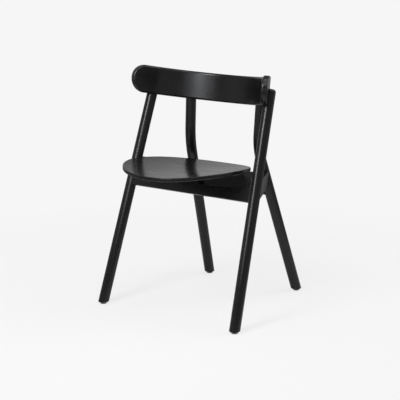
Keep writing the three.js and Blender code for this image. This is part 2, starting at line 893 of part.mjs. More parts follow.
// Nails and glides under the feet
for (const name of Object.keys(legs)) {
  const end = name.startsWith('front') ? frontLegStations : rearLegStations;
  const side = name.endsWith('left') ? -1 : 1;
  const foot = mirrorX(axisAt(end(1)[0], glideHeight), side);
  foot.z = 0;
  const place = name.replace('_leg', '');
  const hole = nail(foot, clearance);
  pieces[name] = pieces[name].subtract(hole);
  addPiece(`glide_${place}`, glide(foot, 0).subtract(hole), glidePlastic);
  addPiece(`glide_nail_${place}`, nail(foot, 0), zincSteel);
}

for (const { name, material, solid, hole, pieces: joined } of fixings) {
  for (const piece of joined) {
    pieces[piece] = pieces[piece].subtract(hole);
  }
  addPiece(name, solid, material);
}
for (const [name, solid] of Object.entries(pieces)) {
  addPiece(name, solid, stainedWood);
}

// The origin lies on the floor under the middle of the chair's depth
const depthMiddle = new Box3().setFromObject(chair).getCenter(new Vector3()).y;
chair.position.y = -depthMiddle;
chair.updateMatrixWorld(true);

export default chair;
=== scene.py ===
"""Looks of a black wooden chair: round legs, a dished round seat and a bent backrest.

Metres, +Z up, the front towards -Y. Left is -X, seen from the front.
"""

from math import atan2, cos, pi, radians, sin, tan

import bpy
import numpy as np
from mathutils import Matrix, Vector


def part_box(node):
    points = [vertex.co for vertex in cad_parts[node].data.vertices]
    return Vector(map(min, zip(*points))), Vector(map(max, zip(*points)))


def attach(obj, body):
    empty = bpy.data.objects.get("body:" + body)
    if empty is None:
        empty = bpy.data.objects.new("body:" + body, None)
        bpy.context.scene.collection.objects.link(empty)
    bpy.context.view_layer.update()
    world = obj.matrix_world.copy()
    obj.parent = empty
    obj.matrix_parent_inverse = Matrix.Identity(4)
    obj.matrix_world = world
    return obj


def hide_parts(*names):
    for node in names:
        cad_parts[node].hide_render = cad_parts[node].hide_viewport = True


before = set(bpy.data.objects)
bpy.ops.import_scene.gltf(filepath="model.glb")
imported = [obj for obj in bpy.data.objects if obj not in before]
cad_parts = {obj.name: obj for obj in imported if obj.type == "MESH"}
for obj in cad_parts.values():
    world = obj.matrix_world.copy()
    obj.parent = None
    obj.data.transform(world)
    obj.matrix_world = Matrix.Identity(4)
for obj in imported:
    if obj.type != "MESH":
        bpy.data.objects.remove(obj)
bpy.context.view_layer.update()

# Seat: a single-curved disc, half a circle in front and half an ellipse behind
SEAT_THICKNESS = 0.012
SEAT_ARRIS = 0.003
SEAT_RADIUS = 0.193
SEAT_CENTRE_Y = -0.1125
SEAT_REAR_REACH = 0.2475
SEAT_BEND_RADIUS = 0.960
SEAT_HEIGHT = 0.4615
SEAT_SLOPE = 0.065
SEAT_REAR_Y = SEAT_CENTRE_Y + SEAT_REAR_REACH

# Backrest: a band bent to one radius, tighter at its shoulders, with straight ends
BACK_HEIGHT = 0.091
BACK_THICKNESS = 0.020
BACK_INNER_ARRIS = 0.007
BACK_OUTER_ARRIS = 0.002
BACK_HALF_LENGTH = 0.338
BACK_RADIUS = 0.272
BACK_ARC_HALF_LENGTH = 0.203
SHOULDER_RADIUS = 0.159
SHOULDER_LENGTH = 0.058
BACK_BEHIND_SEAT = 0.001
BACK_ABOVE_SEAT = 0.2305
BACK_TILT = radians(8.4)
BACK_END_RISE = 0.012
BACK_CENTRE = Vector((0, SEAT_REAR_Y + BACK_BEHIND_SEAT, SEAT_HEIGHT + BACK_ABOVE_SEAT))

# Round legs, cut level at the foot, planed inside the backrest from a shoulder on, and domed at the top
LEG_RADIUS = 0.01725
FOOT_CHAMFER = 0.002
LEG_TOP_ROUNDING = 0.008
LEG_SHOULDER = 0.002

# Front legs: the foot's axis from the seat, the top's above the backrest's middle
FRONT_FOOT_BESIDE_SEAT = 0.067
FRONT_FOOT_FORWARD = 0.0975
FRONT_TOP_RISE = 0.0275
FRONT_FOOT = Vector((SEAT_RADIUS + FRONT_FOOT_BESIDE_SEAT, SEAT_CENTRE_Y - FRONT_FOOT_FORWARD, 0))
FRONT_TOP_HEIGHT = BACK_CENTRE.z + FRONT_TOP_RISE

# Rear legs: the knee's axis from the seat, the foot's from the knee, the top's above the backrest's middle
REAR_KNEE_X = 0.1345
REAR_KNEE_FORWARD = 0.027
REAR_KNEE_ABOVE_SEAT = 0.0515
REAR_KNEE_RADIUS = 0.220
REAR_FOOT_X = 0.1805
REAR_FOOT_SPLAY = 0.1815
REAR_TOP_RISE = 0.023
REAR_KNEE = Vector((REAR_KNEE_X, SEAT_REAR_Y - REAR_KNEE_FORWARD, SEAT_HEIGHT + REAR_KNEE_ABOVE_SEAT))
REAR_FOOT = Vector((REAR_FOOT_X, REAR_KNEE.y + REAR_FOOT_SPLAY, 0))
REAR_TOP_HEIGHT = BACK_CENTRE.z + REAR_TOP_RISE

# Where the legs stand along the backrest, how far their axis is behind it, and how deep they are let in
FRONT_LEG_FROM_END = 0.0844
FRONT_LEG_ALONG_BACK = BACK_HALF_LENGTH - FRONT_LEG_FROM_END
FRONT_LEG_BEHIND_BACK = 0.0015
FRONT_HOUSING_DEPTH = 0.0085
REAR_LEG_ALONG_BACK = 0.1348
REAR_LEG_BEHIND_BACK = 0.0092
REAR_HOUSING_DEPTH = 0.0018

# Glides under the feet
GLIDE_HEIGHT = 0.006
GLIDE_RADIUS = 0.01125
GLIDE_FOOT_RADIUS = 0.00975
GLIDE_ROUNDING = 0.001
GLIDE_RECESS_RADIUS = 0.0045
GLIDE_RECESS_DEPTH = 0.002
GLIDE_GAP = 0.0003

# Cover plugs on the backrest's inner face, in front of the front legs
PLUG_WIDTH = 0.033
PLUG_HEIGHT = 0.028
PLUG_DEPTH = 0.005
PLUG_PROUD = 0.0008
PLUG_BEVEL = PLUG_PROUD / 2
PLUG_SHIFT = 0.009

# Front rail, in the leaning plane of the front legs
FRONT_RAIL_THICKNESS = 0.032
FRONT_RAIL_DROP = 0.0815
SCOOP_INNER_X = 0.064
SCOOP_INNER_DROP = 0.0515
SCOOP_OUTER_DROP = 0.0435
SCOOP_CORNER = 0.012
FRONT_PAD_HALF_WIDTH = 0.027
BLOCK_BESIDE_SEAT = 0.002
BLOCK_RISE = 0.0105
BLOCK_CHAMFER_HEIGHT = 0.018
BLOCK_CHAMFER_DEPTH = 0.012
FRONT_RAIL_BOTTOM = SEAT_HEIGHT - FRONT_RAIL_DROP
SCOOP_INNER_HEIGHT = SEAT_HEIGHT - SCOOP_INNER_DROP
SCOOP_OUTER_HEIGHT = SEAT_HEIGHT - SCOOP_OUTER_DROP
BLOCK_INNER_X = SEAT_RADIUS + BLOCK_BESIDE_SEAT
BLOCK_TOP = SEAT_HEIGHT + BLOCK_RISE

# Rear rail, in the leaning plane of the rear legs
REAR_RAIL_THICKNESS = 0.034
REAR_RAIL_DROP = 0.1035
REAR_RAIL_TOP_DROP = 0.0475
REAR_PAD_HALF_WIDTH = 0.045
REAR_PAD_FOOT_X = 0.082
REAR_RAIL_BOTTOM = SEAT_HEIGHT - REAR_RAIL_DROP
REAR_RAIL_TOP = SEAT_HEIGHT - REAR_RAIL_TOP_DROP

# Side rails from front leg to rear leg
SIDE_RAIL_THICKNESS = 0.022
SIDE_RAIL_DROP = 0.0775
SIDE_RAIL_TOP_DROP = 0.0255
SIDE_RAIL_BOTTOM = SEAT_HEIGHT - SIDE_RAIL_DROP
SIDE_RAIL_TOP = SEAT_HEIGHT - SIDE_RAIL_TOP_DROP

# Arrises of the rails, how far they reach into the legs and the seat, and the bores of the seat screws
RAIL_ARRIS = 0.003
RAIL_END_DEPTH = 0.0085
PAD_INTO_SEAT = 0.002
BORE_RADIUS = 0.0048
SEAT_SCREW_LENGTH = 0.042
SEAT_SCREW_INTO_SEAT = 0.008
FRONT_SEAT_SCREW_X = 0.014
REAR_SEAT_SCREW_X = 0.025
REAR_SEAT_SCREW_FORWARD = 0.009
OVERRUN = 0.005

# Fineness of the meshes
LEG_SIDES = 96
DOME_STEPS = 12
KNEE_STEPS = 48
ARRIS_STEPS = 8
RAIL_ARRIS_STEPS = 4
SEAT_STEPS = 120
BACK_STEPS = 160
BACK_END_STEPS = 48
PLUG_ARC_STEPS = 64
PLUG_BEVEL_STEPS = 3
ROUND_SIDES = 64
CURVE_STEPS = 14
SHARP_ANGLE = radians(32)

X_AXIS = Vector((1, 0, 0))
Z_AXIS = Vector((0, 0, 1))
SIDES = (("left", -1), ("right", 1))

# Meshes

def ring_turns(count):
    """Angles of a ring's points, with none of them on an axis."""
    return [2 * pi * (i + 1 / 2) / count for i in range(count)]


def rounding(radius, steps=ARRIS_STEPS):
    """A quarter round's points: how far they lie in from the side, and how far from the face."""
    turns = [pi / 2 * k / steps for k in range(steps + 1)]
    return [(radius * (1 - sin(turn)), radius * (1 - cos(turn))) for turn in turns]


def skin(rings):
    """Points and faces of a stack of closed rings; each end closes as a ladder of quads."""
    count = len(rings[0])
    points = [tuple(point) for ring in rings for point in ring]
    faces = []

    def ladder(first, flipped):
        for i in range(count // 2 - 1):
            rung = [first + i, first + i + 1, first + count - 2 - i, first + count - 1 - i]
            faces.append(rung[::-1] if flipped else rung)

    for ring in range(len(rings) - 1):
        for i in range(count):
            a = ring * count + i
            b = ring * count + (i + 1) % count
            faces.append((a, b, b + count, a + count))
    ladder(0, True)
    ladder((len(rings) - 1) * count, False)
    return points, faces


def model_shift():
    """The CAD model stands centred on its own depth: a rear glide says by how much it was shifted."""
    low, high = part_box("glide_rear_right")
    lean = (REAR_KNEE.y - REAR_FOOT.y) / REAR_KNEE.z
    return Vector((0, (low.y + high.y) / 2 - REAR_FOOT.y - GLIDE_HEIGHT * lean, 0))


SHIFT = model_shift()


def new_object(name, points, faces):
    mesh = bpy.data.meshes.new(name)
    mesh.from_pydata([Vector(point) + SHIFT for point in points], [], faces)
    obj = bpy.data.objects.new(name, mesh)
    bpy.context.scene.collection.objects.link(obj)
    return obj


def prism(name, first, second):
    """A solid between two loops of points; the second loop turns anticlockwise, seen from outside."""
    count = len(first)
    faces = [list(range(count))[::-1], list(range(count, 2 * count))]
    for i in range(count):
        j = (i + 1) % count
        faces.append([i, j, j + count, i + count])
    return new_object(name, first + second, faces)


def apply_modifiers(obj):
    evaluated = obj.evaluated_get(bpy.context.evaluated_depsgraph_get())
    mesh = bpy.data.meshes.new_from_object(evaluated)
    obj.modifiers.clear()
    obj.data = mesh


def combine(obj, tool, operation):
    """Cuts a piece with a tool, which is then removed."""
    modifier = obj.modifiers.new("combine", "BOOLEAN")
    modifier.operation = operation
    modifier.solver = "EXACT"
    modifier.object = tool
    apply_modifiers(obj)
    bpy.data.objects.remove(tool)


def soften(obj, width, segments):
    """Rounds the sharp edges of a rigid piece."""
    modifier = obj.modifiers.new("arris", "BEVEL")
    modifier.limit_method = "ANGLE"
    modifier.angle_limit = SHARP_ANGLE
    modifier.width = width
    modifier.segments = segments
    apply_modifiers(obj)


def smooth(obj):
    """Smooth shading that keeps flat faces flat."""
    obj.data.shade_smooth()
    obj.data.set_sharp_from_angle(angle=SHARP_ANGLE)
    modifier = obj.modifiers.new("flat faces", "WEIGHTED_NORMAL")
    modifier.keep_sharp = True


def frame_of(x, y, z, origin):
    """The matrix of a frame with these axes."""
    matrix = Matrix((x, y, z)).transposed().to_4x4()
    matrix.translation = origin
    return matrix


def set_grain(obj, coordinates):
    """Keeps each point's place in the wood: two coordinates across the grain, then one along it."""
    layer = obj.data.attributes.new("grain", "FLOAT_VECTOR", "POINT")
    layer.data.foreach_set("vector", np.asarray(coordinates, np.float32).ravel())


def grain_in_frame(obj, matrix):
    """Grain along the X axis of a straight piece's own frame."""
    inverse = matrix.inverted()
    local = [inverse @ (point.co - SHIFT) for point in obj.data.vertices]
    set_grain(obj, [(p.y, p.z, p.x) for p in local])


def finish_piece(obj, material, slot, *nodes):
    """Gives a piece its material and smooth shading, hangs it on the root body and hides the CAD nodes that
    it stands for.
    """
    obj.data.materials.clear()
    obj.data.materials.append(material)
    smooth(obj)
    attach(obj, "root")
    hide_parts(*nodes)


def plate(name, outline, low, thickness, arrises, place):
    """An outline with rounded edges, bent by place(u, s, w); its grain runs along u.

    The arrises are those of the lower and the upper face.
    """
    lower, upper = (rounding(arris) for arris in arrises)
    edge = lower + [(inset, thickness - height) for inset, height in reversed(upper)]
    rings, coordinates = [], []
    for inset, height in edge:
        flat = [(u, s, low + height) for u, s in outline(inset)]
        rings.append([place(*point) for point in flat])
        coordinates += [(s, w, u) for u, s, w in flat]
    obj = new_object(name, *skin(rings))
    set_grain(obj, coordinates)
    return obj


# Legs

def leg_stations(foot, knee, top):
    """Centres and directions along a leg. A knee is turned to its own radius."""
    if knee is None:
        direction = (top - foot).normalized()
        return [(foot, direction), (top, direction)]
    lower = (knee - foot).normalized()
    upper = (top - knee).normalized()
    bend = lower.angle(upper)
    start = knee - lower * REAR_KNEE_RADIUS * tan(bend / 2)
    inward = (upper - lower * upper.dot(lower)).normalized()
    middle = start + inward * REAR_KNEE_RADIUS
    stations = [(foot, lower)]
    for k in range(KNEE_STEPS + 1):
        turn = bend * k / KNEE_STEPS
        centre = middle - inward * REAR_KNEE_RADIUS * cos(turn) + lower * REAR_KNEE_RADIUS * sin(turn)
        stations.append((centre, lower * cos(turn) + inward * sin(turn)))
    return stations + [(top, upper)]


def mirrored(point, side):
    return Vector((point.x * side, point.y, point.z))


def leg_top(start, axis, height):
    """A leg's last straight length starts at a point, crosses the backrest's axis and ends at a height."""
    rise = axis - start
    return start + rise * ((height - start.z) / rise.z)


def front_stations(side):
    foot = mirrored(FRONT_FOOT, side)
    return leg_stations(foot, None, leg_top(foot, front_meeting(side)[0], FRONT_TOP_HEIGHT))


def rear_stations(side):
    foot, knee = mirrored(REAR_FOOT, side), mirrored(REAR_KNEE, side)
    return leg_stations(foot, knee, leg_top(knee, rear_meeting(side)[0], REAR_TOP_HEIGHT))


def axis_at(station, height):
    centre, direction = station
    return centre + direction * ((height - centre.z) / direction.z)


def leg_ring(centre, direction, radius, face):
    """Ring of a round leg on the plane through centre with the normal face."""
    across = (X_AXIS - direction * direction.x).normalized()
    along = direction.cross(across)
    ring = []
    for turn in ring_turns(LEG_SIDES):
        point = across * radius * cos(turn) + along * radius * sin(turn)
        ring.append(centre + point - direction * (point.dot(face) / direction.dot(face)))
    return ring


def leg_grain(obj, rings, station):
    """Grain along a leg's middle line, from its foot through its knee."""
    last, rise = station
    across = (X_AXIS - rise * rise.x).normalized()
    along = rise.cross(across)
    coordinates, length = [], 0
    for ring in rings:
        middle = sum(ring, Vector()) / len(ring)
        length += (middle - last).length
        last = middle
        coordinates += [
            ((point - middle).dot(across), (point - middle).dot(along), length) for point in ring
        ]
    set_grain(obj, coordinates)


def leg(name, stations, meet):
    """A round leg whose top is planed flat where the backrest covers it."""
    rise = stations[0][1]
    top, end = stations[-1]
    axis, u, flat_depth = meet
    below = [
        leg_ring(axis_at(stations[0], GLIDE_HEIGHT), rise, LEG_RADIUS - FOOT_CHAMFER, Z_AXIS),
        leg_ring(axis_at(stations[0], GLIDE_HEIGHT + FOOT_CHAMFER), rise, LEG_RADIUS, Z_AXIS),
    ]
    below += [leg_ring(centre, way, LEG_RADIUS, way) for centre, way in stations[1:-1]]
    edge = axis_at(stations[-1], band_place(u, -BACK_HEIGHT / 2, 0).z)
    below.append(leg_ring(edge + end * LEG_SHOULDER, end, LEG_RADIUS, end))
    inside = [leg_ring(edge + end * 2 * LEG_SHOULDER, end, LEG_RADIUS, end)]
    inside += [
        leg_ring(top - end * drop, end, LEG_RADIUS - inset, end)
        for drop, inset in rounding(LEG_TOP_ROUNDING, DOME_STEPS)
    ]
    normal = band_normal(u)
    planed = [
        [point - normal * min(0, (point - axis).dot(normal) + flat_depth) for point in ring]
        for ring in inside
    ]
    obj = new_object(name, *skin(below + planed))
    leg_grain(obj, below + inside, stations[0])
    return obj


# Seat

def seat_place(x, y, w):
    level = SEAT_HEIGHT - SEAT_SLOPE * (y - SEAT_CENTRE_Y)
    return Vector((x, y, level + x * x / (2 * SEAT_BEND_RADIUS) + w))


def seat_outline(inset):
    """Half circle in front, half ellipse behind, each inset along its own normal."""
    front, rear = [], []
    for i in range(SEAT_STEPS + 1):
        turn = pi * (i + 1 / 2) / (SEAT_STEPS + 1)
        x, y = -cos(turn), sin(turn)
        slope = Vector((x / SEAT_RADIUS, y / SEAT_REAR_REACH)).normalized()
        front.append((x * (SEAT_RADIUS - inset), SEAT_CENTRE_Y - y * (SEAT_RADIUS - inset)))
        rear.append((
            x * SEAT_RADIUS - slope.x * inset,
            SEAT_CENTRE_Y + y * SEAT_REAR_REACH - slope.y * inset,
        ))
    return front + rear[::-1]


def seat_shell():
    arrises = (SEAT_ARRIS, SEAT_ARRIS)
    return plate("seat_bent_plywood", seat_outline, -SEAT_THICKNESS, SEAT_THICKNESS, arrises, seat_place)


# Backrest

BAND_UP = Vector((0, sin(BACK_TILT), cos(BACK_TILT)))
BAND_BACK = Vector((0, cos(BACK_TILT), -sin(BACK_TILT)))


def band_line(u):
    """Middle line of the band at the developed length u: across, forward and its turn."""
    side = -1 if u < 0 else 1
    length = abs(u)
    on_arc = min(length, BACK_ARC_HALF_LENGTH) / BACK_RADIUS
    on_shoulder = min(max(length - BACK_ARC_HALF_LENGTH, 0), SHOULDER_LENGTH) / SHOULDER_RADIUS
    straight = max(length - BACK_ARC_HALF_LENGTH - SHOULDER_LENGTH, 0)
    turn = on_arc + on_shoulder
    across = (
        BACK_RADIUS * sin(on_arc)
        + SHOULDER_RADIUS * (sin(turn) - sin(on_arc))
        + straight * cos(turn)
    )
    forward = (
        BACK_RADIUS * (1 - cos(on_arc))
        + SHOULDER_RADIUS * (cos(on_arc) - cos(turn))
        + straight * sin(turn)
    )
    return side * across, forward, side * turn


def band_normal(u):
    """The way that the band's outer face looks at u."""
    turn = band_line(u)[2]
    return X_AXIS * sin(turn) + BAND_BACK * cos(turn)


def band_place(u, s, w):
    """A point at u along the band, s above its middle and w in front of its middle surface."""
    across, forward, _ = band_line(u)
    rise = BACK_END_RISE * (u / BACK_HALF_LENGTH) ** 2
    return (
        BACK_CENTRE + X_AXIS * across - BAND_BACK * forward + BAND_UP * (s + rise) - band_normal(u) * w
    )


def band_outline(inset):
    """Straight edges and full round ends."""
    radius = BACK_HEIGHT / 2 - inset
    straight = BACK_HALF_LENGTH - BACK_HEIGHT / 2
    lower = [(straight * (2 * i / BACK_STEPS - 1), -radius) for i in range(BACK_STEPS + 1)]
    turns = [pi / 2 * (i - 1 / 2) / BACK_END_STEPS for i in range(BACK_END_STEPS, 0, -1)]
    end = [(straight + radius * cos(turn), -radius * sin(turn)) for turn in turns]
    start = [(-u, s) for u, s in reversed(end)]
    chain = start + lower + end
    return chain + [(u, -s) for u, s in reversed(chain)]


def band(name, grow=0):
    """The backrest, or its form grown on all sides."""
    return plate(
        name,
        lambda inset: band_outline(inset - grow),
        -BACK_THICKNESS / 2 - grow,
        BACK_THICKNESS + 2 * grow,
        (BACK_OUTER_ARRIS + grow, BACK_INNER_ARRIS + grow),
        band_place,
    )


def meeting(side, length, behind, housing):
    """Where a leg meets the band: its axis there, the developed length and the flat's depth from the axis."""
    across, forward, turn = band_line(side * length)
    gap = BACK_THICKNESS / 2 + behind
    offset = Vector((across + gap * sin(turn), (gap * cos(turn) - forward) / BAND_BACK.y, 0))
    return BACK_CENTRE + offset, side * length, behind + housing


def front_meeting(side):
    return meeting(side, FRONT_LEG_ALONG_BACK, FRONT_LEG_BEHIND_BACK, FRONT_HOUSING_DEPTH)


def rear_meeting(side):
    return meeting(side, REAR_LEG_ALONG_BACK, REAR_LEG_BEHIND_BACK, REAR_HOUSING_DEPTH)


def plug(name, u):
    """Cover plug: as wide as a leg, with a round top, on the inner face above the lower edge."""
    centre = u + (1 if u > 0 else -1) * PLUG_SHIFT
    radius = PLUG_WIDTH / 2
    crown = -BACK_HEIGHT / 2 + PLUG_HEIGHT - radius
    foot = -BACK_HEIGHT / 2 - OVERRUN
    turns = [pi * i / PLUG_ARC_STEPS for i in range(PLUG_ARC_STEPS + 1)]

    def outline(inset):
        reach = radius - inset
        lower = [(centre - cos(turn) * reach, foot) for turn in turns]
        upper = [(centre - cos(turn) * reach, crown + sin(turn) * reach) for turn in turns]
        return lower + upper[::-1]

    low = BACK_THICKNESS / 2 - PLUG_DEPTH
    body = plate(name, outline, low, PLUG_DEPTH + PLUG_PROUD + OVERRUN, (0, 0), band_place)
    combine(body, band(f"{name}_shell", PLUG_PROUD), "INTERSECT")
    soften(body, PLUG_BEVEL, PLUG_BEVEL_STEPS)
    normal = band_normal(centre)
    grain_in_frame(body, frame_of(normal.cross(BAND_UP), BAND_UP, normal, band_place(centre, 0, 0)))
    return body


# Rails

class LegPlane:
    """The leaning plane of a pair of legs, through a foot and a point over it.

    Its frame has x across, y up the slope and z out of the front. The pad's centre is where it meets the
    seat's underside.
    """

    def __init__(self, foot, above):
        lean = atan2(above.y - foot.y, above.z)
        self.up = Vector((0, sin(lean), cos(lean)))
        self.out = X_AXIS.cross(self.up)
        self.matrix = frame_of(X_AXIS, self.up, self.out, Vector((0, foot.y, 0)))
        pad_top = seat_place(0, foot.y, -SEAT_THICKNESS).z / (1 + SEAT_SLOPE * tan(lean))
        self.pad = Vector((0, foot.y + pad_top * tan(lean), pad_top))

    def on_slope(self, height):
        return height / self.up.z


def curve(*controls):
    """Points of a Bezier curve after its first control point, up to its last."""
    points = []
    for i in range(1, CURVE_STEPS + 1):
        t = i / CURVE_STEPS
        rest = [np.array(control) for control in controls]
        while len(rest) > 1:
            rest = [(1 - t) * a + t * b for a, b in zip(rest, rest[1:])]
        points.append(tuple(rest[0]))
    return points


def symmetric(half):
    """A whole outline from its right half, bottom to top."""
    return half + [(-x, y) for x, y in reversed(half) if x > 0]


def slab(name, outline, thickness, matrix):
    """A slab whose outline lies in the frame's own plane."""
    back, front = (
        [matrix @ Vector((x, y, face * thickness / 2)) for x, y in outline] for face in (-1, 1)
    )
    return prism(name, back, front)


def rail_end(station, height):
    """How far out a rail between two legs reaches at a height."""
    return abs(axis_at(station, height).x) - LEG_RADIUS + RAIL_END_DEPTH


def bore(rail, plane, x, forward):
    """Cuts the hole below a seat screw, up the slope of the rail."""
    entry = plane.pad + X_AXIS * x + plane.out * forward
    head = entry + plane.up * (SEAT_SCREW_INTO_SEAT - SEAT_SCREW_LENGTH)
    drop = 2 * RAIL_ARRIS + head.z - min(FRONT_RAIL_BOTTOM, REAR_RAIL_BOTTOM) + OVERRUN
    rings = [
        [
            centre + (X_AXIS * cos(turn) - plane.out * sin(turn)) * BORE_RADIUS
            for turn in ring_turns(ROUND_SIDES)
        ]
        for centre in (head - plane.up * drop, head)
    ]
    combine(rail, new_object("bore", *skin(rings)), "DIFFERENCE")


def finish_rail(rail, plane, screw_x, screw_forward):
    """Arrises, screw bores and grain of a rail in a pair of legs' plane."""
    soften(rail, RAIL_ARRIS, RAIL_ARRIS_STEPS)
    for side in (-1, 1):
        bore(rail, plane, side * screw_x, screw_forward)
    grain_in_frame(rail, plane.matrix)
    return rail


def chamfer_blocks(rail, plane):
    """Planes the front upper edge off the two end blocks."""
    top = plane.on_slope(BLOCK_TOP)
    face = FRONT_RAIL_THICKNESS / 2
    low = top - BLOCK_CHAMFER_HEIGHT * (1 + OVERRUN / BLOCK_CHAMFER_DEPTH)
    inner = face - BLOCK_CHAMFER_DEPTH * (1 + OVERRUN / BLOCK_CHAMFER_HEIGHT)
    corners = [(low, face + OVERRUN), (top + OVERRUN, face + OVERRUN), (top + OVERRUN, inner)]
    right, left = (
        [plane.matrix @ Vector((x, y, z)) for y, z in corners] for x in (FRONT_FOOT.x, -FRONT_FOOT.x)
    )
    combine(rail, prism("wedge", right, left), "DIFFERENCE")


def front_rail():
    station = front_stations(1)[0]
    plane = LegPlane(FRONT_FOOT, front_meeting(1)[0])
    bottom, top = plane.on_slope(FRONT_RAIL_BOTTOM), plane.on_slope(BLOCK_TOP)
    scoop_outer = plane.on_slope(SCOOP_OUTER_HEIGHT)
    scoop_inner = plane.on_slope(SCOOP_INNER_HEIGHT)
    pad = plane.on_slope(plane.pad.z)
    corner_top = (BLOCK_INNER_X, scoop_outer + SCOOP_CORNER)
    corner_foot = (BLOCK_INNER_X - SCOOP_CORNER, scoop_outer)
    pad_foot = (SCOOP_INNER_X, scoop_inner)
    pad_edge = (FRONT_PAD_HALF_WIDTH, pad)
    half = [
        (0, bottom),
        (rail_end(station, FRONT_RAIL_BOTTOM), bottom),
        (rail_end(station, BLOCK_TOP), top),
        (BLOCK_INNER_X, top),
        corner_top,
        *curve(corner_top, (BLOCK_INNER_X, scoop_outer), corner_foot),
        pad_foot,
        *curve(pad_foot, (FRONT_PAD_HALF_WIDTH, scoop_inner), pad_edge),
        (FRONT_PAD_HALF_WIDTH, pad + PAD_INTO_SEAT),
        (0, pad + PAD_INTO_SEAT),
    ]
    rail = slab("front_rail_shaped", symmetric(half), FRONT_RAIL_THICKNESS, plane.matrix)
    chamfer_blocks(rail, plane)
    return finish_rail(rail, plane, FRONT_SEAT_SCREW_X, 0)


def rear_rail():
    station = rear_stations(1)[0]
    plane = LegPlane(REAR_FOOT, REAR_KNEE)
    bottom, top = plane.on_slope(REAR_RAIL_BOTTOM), plane.on_slope(REAR_RAIL_TOP)
    pad = plane.on_slope(plane.pad.z)
    middle = (REAR_PAD_HALF_WIDTH + REAR_PAD_FOOT_X) / 2
    foot = (REAR_PAD_FOOT_X, top)
    edge = (REAR_PAD_HALF_WIDTH, pad)
    half = [
        (0, bottom),
        (rail_end(station, REAR_RAIL_BOTTOM), bottom),
        (rail_end(station, REAR_RAIL_TOP), top),
        foot,
        *curve(foot, (middle, top), (middle, pad), edge),
        (REAR_PAD_HALF_WIDTH, pad + PAD_INTO_SEAT),
        (0, pad + PAD_INTO_SEAT),
    ]
    rail = slab("rear_rail_shaped", symmetric(half), REAR_RAIL_THICKNESS, plane.matrix)
    return finish_rail(rail, plane, REAR_SEAT_SCREW_X, REAR_SEAT_SCREW_FORWARD)


def side_rail(name, side):
    """A level rail whose ends follow the lean of its two legs."""
    middle = (SIDE_RAIL_BOTTOM + SIDE_RAIL_TOP) / 2
    front, rear = front_stations(side)[0], rear_stations(side)[0]
    start, end = axis_at(front, middle), axis_at(rear, middle)
    along = (end - start).normalized()
    matrix = frame_of(along, Z_AXIS, along.cross(Z_AXIS), Vector((start.x, start.y, 0)))
    inverse = matrix.inverted()
    inset = LEG_RADIUS - RAIL_END_DEPTH

    def corner(station, height, reach):
        return (inverse @ axis_at(station, height)).x + reach, height

    outline = [
        corner(front, SIDE_RAIL_BOTTOM, inset),
        corner(rear, SIDE_RAIL_BOTTOM, -inset),
        corner(rear, SIDE_RAIL_TOP, -inset),
        corner(front, SIDE_RAIL_TOP, inset),
    ]
    rail = slab(name, outline, SIDE_RAIL_THICKNESS, matrix)
    soften(rail, RAIL_ARRIS, RAIL_ARRIS_STEPS)
    grain_in_frame(rail, matrix)
    return rail


# Glides

def glide(name, foot):
    """Plastic glide: a turned cup with a rounded foot and a recess for its nail."""
    lip = rounding(GLIDE_ROUNDING / 2)
    rim = rounding(GLIDE_ROUNDING)
    profile = [
        (GLIDE_RECESS_RADIUS, GLIDE_RECESS_DEPTH),
        *((GLIDE_RECESS_RADIUS + out, height) for height, out in lip),
        *((GLIDE_FOOT_RADIUS - inset, height) for inset, height in rim),
        (GLIDE_RADIUS, GLIDE_HEIGHT - GLIDE_GAP),
    ]
    rings = [
        [foot + Vector((radius * cos(turn), radius * sin(turn), height)) for turn in ring_turns(ROUND_SIDES)]
        for radius, height in profile
    ]
    return new_object(name, *skin(rings))


# Materials

# The colour sockets of a Mix node share their names with others, so they are found by their place
MIX_FIRST = 6
MIX_SECOND = 7
MIX_RESULT = 2
WHITE = (1, 1, 1, 1)

# Wood: how finely its growth rings, pores and clouds repeat, in features per metre across and along the grain
GROWTH_SCALE = (160, 160, 6)
PORE_SCALE = (2400, 2400, 120)
CLOUD_SCALE = (30, 30, 9)
RICH_DETAIL = 3
PLAIN_DETAIL = 2

# Ranges of the noise, or of an edge's sharpness, over which each feature grows from nothing to full
GROWTH_RANGE = (0.35, 0.65)
PORE_RANGE = (0.60, 0.68)
PORE_HOLLOW_RANGE = (0.56, 0.72)
PORE_STRENGTH = 0.5
EDGE_RANGE = (0.57, 0.66)
RUB_RANGE = (0.40, 0.60)
RUB_AMOUNT = (0.3, 1)
CLOUD_RANGE = (0.3, 0.7)

# Refractive index, which sets how much a surface shines. The rear rail gets a duller, slightly darker copy of
# the wood: painted shade for the shade that the seat casts on it
WOOD_IOR = 1.5
SHADED_DULL_IOR = 1.22


